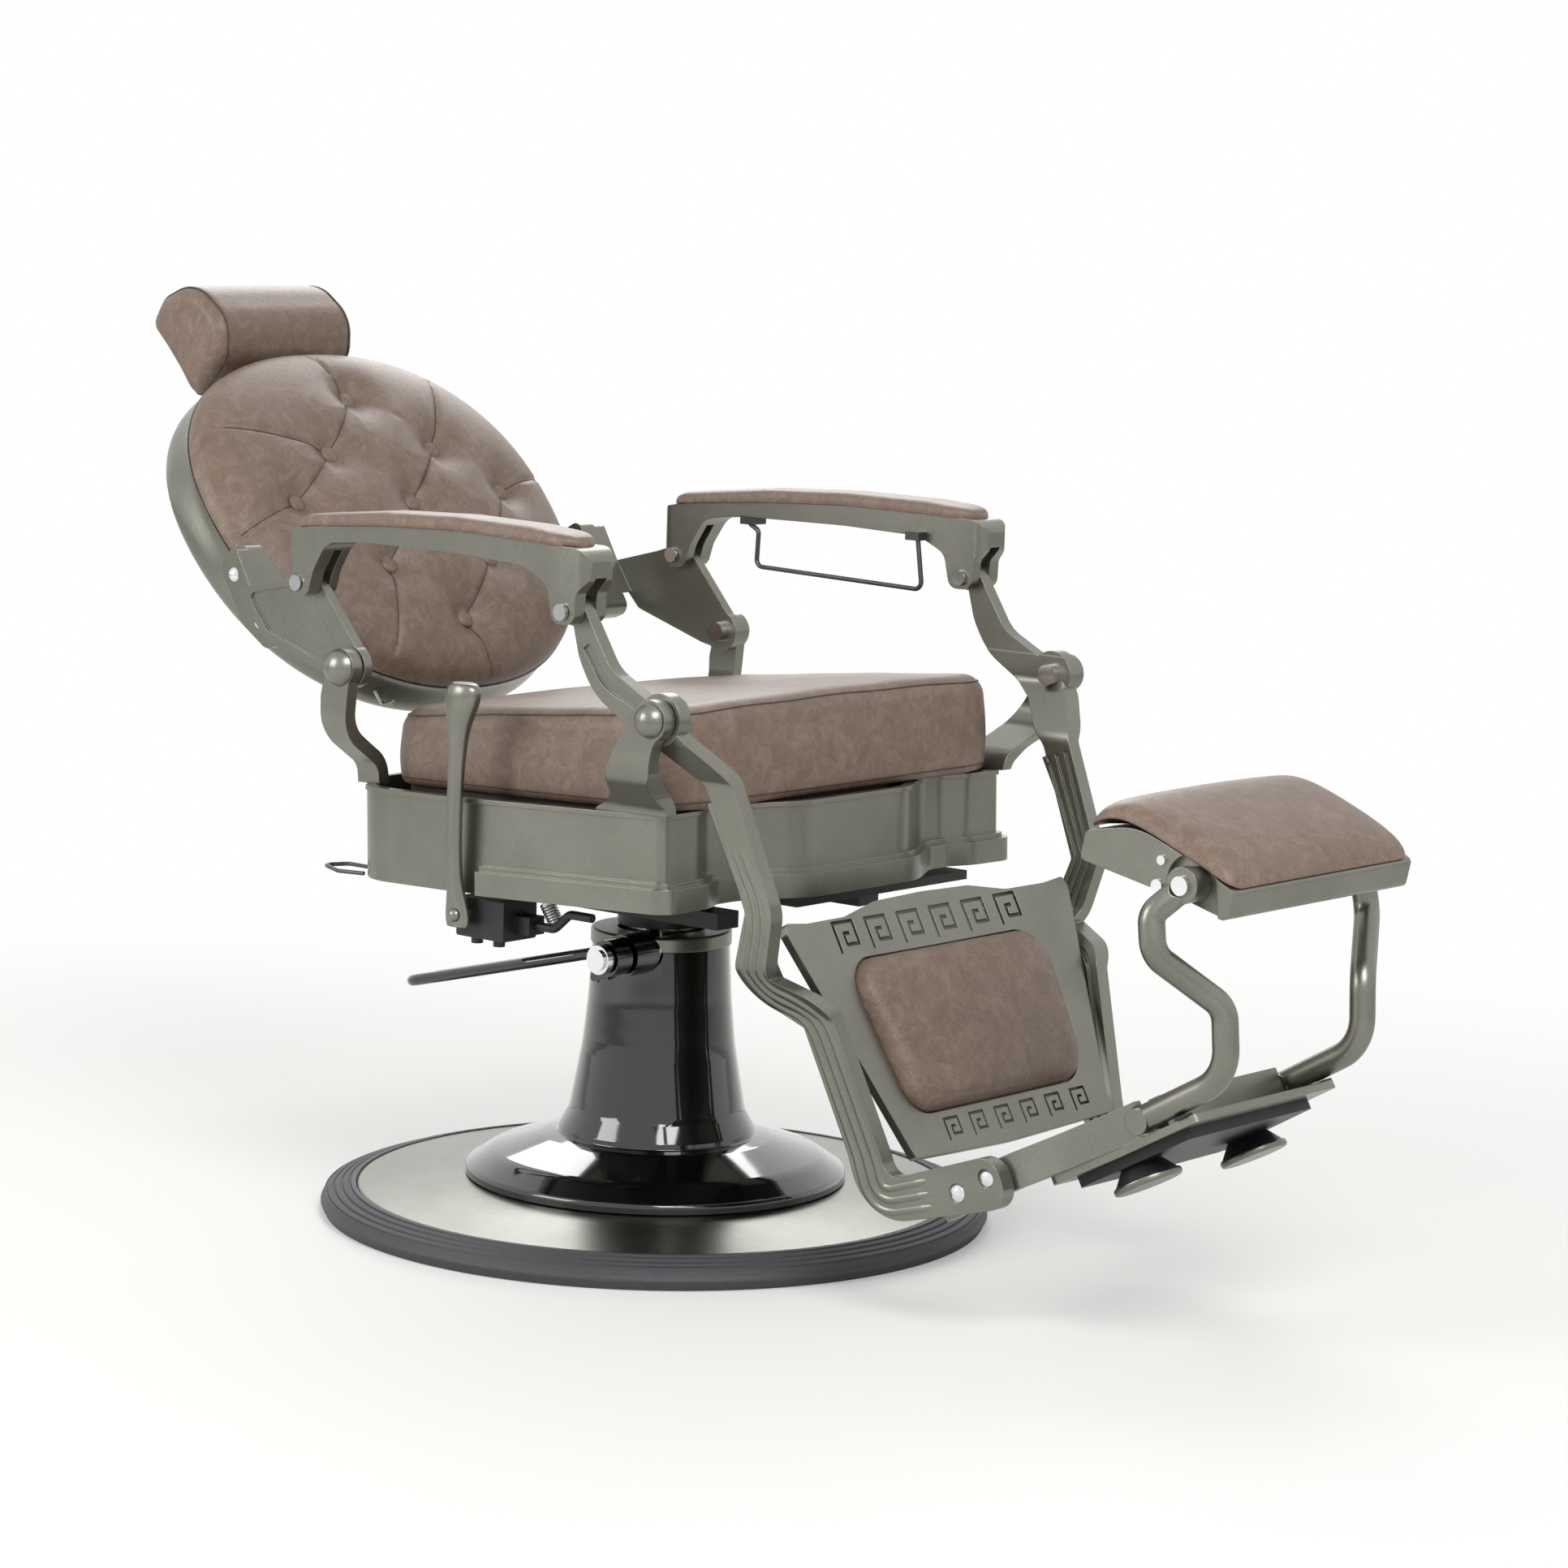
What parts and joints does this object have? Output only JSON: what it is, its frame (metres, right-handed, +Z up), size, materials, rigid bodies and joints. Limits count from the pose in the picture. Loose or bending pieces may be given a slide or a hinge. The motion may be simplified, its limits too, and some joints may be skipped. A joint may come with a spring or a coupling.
{
  "type": "barber chair",
  "caption": "Reclining hydraulic barber chair: oval button-tufted back, cast frame, fluted leg links, calf panel with key border, folding foot pad, round base.",
  "frame": {"origin": "on the floor under the column axis", "axes": "+Z up, the chair faces -Y, +X is the sitter's left"},
  "size_m": [0.6986, 1.4927, 0.94],
  "materials": {
    "pewter": "satin pewter metallic",
    "base_metal": "satin, silver",
    "gloss_black": "gloss black",
    "black_steel": "satin black",
    "bright_metal": "polished",
    "leather": "distressed brown, semi-gloss",
    "trim_rubber": "dark grey, ribbed",
    "board_wood": "raw plywood"
  },
  "bodies": {
    "base": {"base_plate": "base_metal", "base_trim": "trim_rubber", "column_cover": "gloss_black", "column_collar": "gloss_black", "pump_cylinder": "black_steel", "pump_hub": "black_steel"},
    "pump_lever": {"pump_shaft": "bright_metal", "shaft_ring": "bright_metal", "pump_handle": "black_steel"},
    "piston": {"lift_piston": "bright_metal"},
    "seat": {"seat_apron": "pewter", "seat_board": "board_wood", "seat_cushion": "leather", "seat_underframe": "black_steel", "front_bracket": "black_steel", "strap_loop": "bright_metal", "front_upright_left": "pewter", "front_upright_right": "pewter", "rear_upright_left": "pewter", "rear_upright_right": "pewter", "pivot_pins": "bright_metal", "pivot_caps": "pewter", "recline_housing": "black_steel", "recline_rod": "black_steel", "recline_spring": "bright_metal"},
    "lever": {"recline_lever": "pewter", "lever_bolt": "bright_metal"},
    "back": {"back_shell": "pewter", "back_cushion": "leather", "back_buttons": "leather", "side_plate_left": "pewter", "side_plate_right": "pewter", "shell_bolts": "bright_metal", "back_hook": "bright_metal", "headrest_socket": "black_steel"},
    "headrest": {"headrest_stem": "black_steel", "headrest_pad": "leather"},
    "arm_left": {"armrest_left": "pewter", "armrest_pad_left": "leather", "arm_bolts_left": "bright_metal", "towel_bar": "bright_metal"},
    "arm_right": {"armrest_right": "pewter", "armrest_pad_right": "leather", "arm_bolts_right": "bright_metal"},
    "leg_frame": {"front_link_left": "pewter", "front_link_right": "pewter", "link_bolts": "bright_metal", "calf_panel": "pewter", "calf_pad": "leather", "footrest_deck": "pewter", "foot_bracket": "black_steel", "foot_glides": "bright_metal", "arm_clips": "black_steel"},
    "fold_arms": {"s_arm_left": "pewter", "s_arm_right": "pewter"},
    "foot_pad": {"foot_tray": "pewter", "foot_pins": "bright_metal", "foot_rivets": "bright_metal", "foot_cushion": "leather"}
  },
  "joints": [
    {"name": "lift", "type": "slide", "parent": "base", "child": "piston", "axis": [0, 0, 1], "range_m": [0, 0.16]},
    {"name": "swivel", "type": "hinge", "parent": "piston", "child": "seat", "pos_m": [0, 0, 0.31], "axis": [0, 0, 1], "continuous": true},
    {"name": "pump", "type": "hinge", "parent": "base", "child": "pump_lever", "pos_m": [-0.107, -0.027, 0.285], "axis": [1, 0, 0], "range_deg": [-20, 12], "stiffness_Nm_per_rad": 6},
    {"name": "recline", "type": "hinge", "parent": "seat", "child": "back", "pos_m": [0, 0.171, 0.5783], "axis": [1, 0, 0], "range_deg": [0, 30]},
    {"name": "leg_swing", "type": "hinge", "parent": "seat", "child": "leg_frame", "pos_m": [0, -0.2681, 0.5704], "axis": [1, 0, 0], "range_deg": [0, 24.3]},
    {"name": "arm_left_turn", "type": "hinge", "parent": "back", "child": "arm_left", "pos_m": [0.294, 0.2317, 0.659], "axis": [1, 0, 0], "range_deg": [-32.72, 0]},
    {"name": "arm_right_turn", "type": "hinge", "parent": "back", "child": "arm_right", "pos_m": [-0.294, 0.2317, 0.659], "axis": [1, 0, 0], "range_deg": [-32.72, 0]},
    {"name": "headrest_slide", "type": "slide", "parent": "back", "child": "headrest", "axis": [0, 0.6428, 0.766], "range_m": [0, 0.06]},
    {"name": "lever_pull", "type": "hinge", "parent": "seat", "child": "lever", "pos_m": [-0.29, 0.01, 0.346], "axis": [1, 0, 0], "range_deg": [-12, 12], "stiffness_Nm_per_rad": 4},
    {"name": "arms_fold", "type": "hinge", "parent": "leg_frame", "child": "fold_arms", "pos_m": [0, -0.7, 0.224], "axis": [1, 0, 0], "range_deg": [-20, 0]},
    {"name": "pad_tilt", "type": "hinge", "parent": "fold_arms", "child": "foot_pad", "pos_m": [0, -0.766, 0.458], "axis": [1, 0, 0], "range_deg": [-15, 30]}
  ],
  "couplings": [
    {"joint": "leg_swing", "follows": "recline", "ratio": 0.8098},
    {"joint": "arm_left_turn", "follows": "recline", "ratio": -1.0904},
    {"joint": "arm_right_turn", "follows": "recline", "ratio": -1.0904}
  ]
}
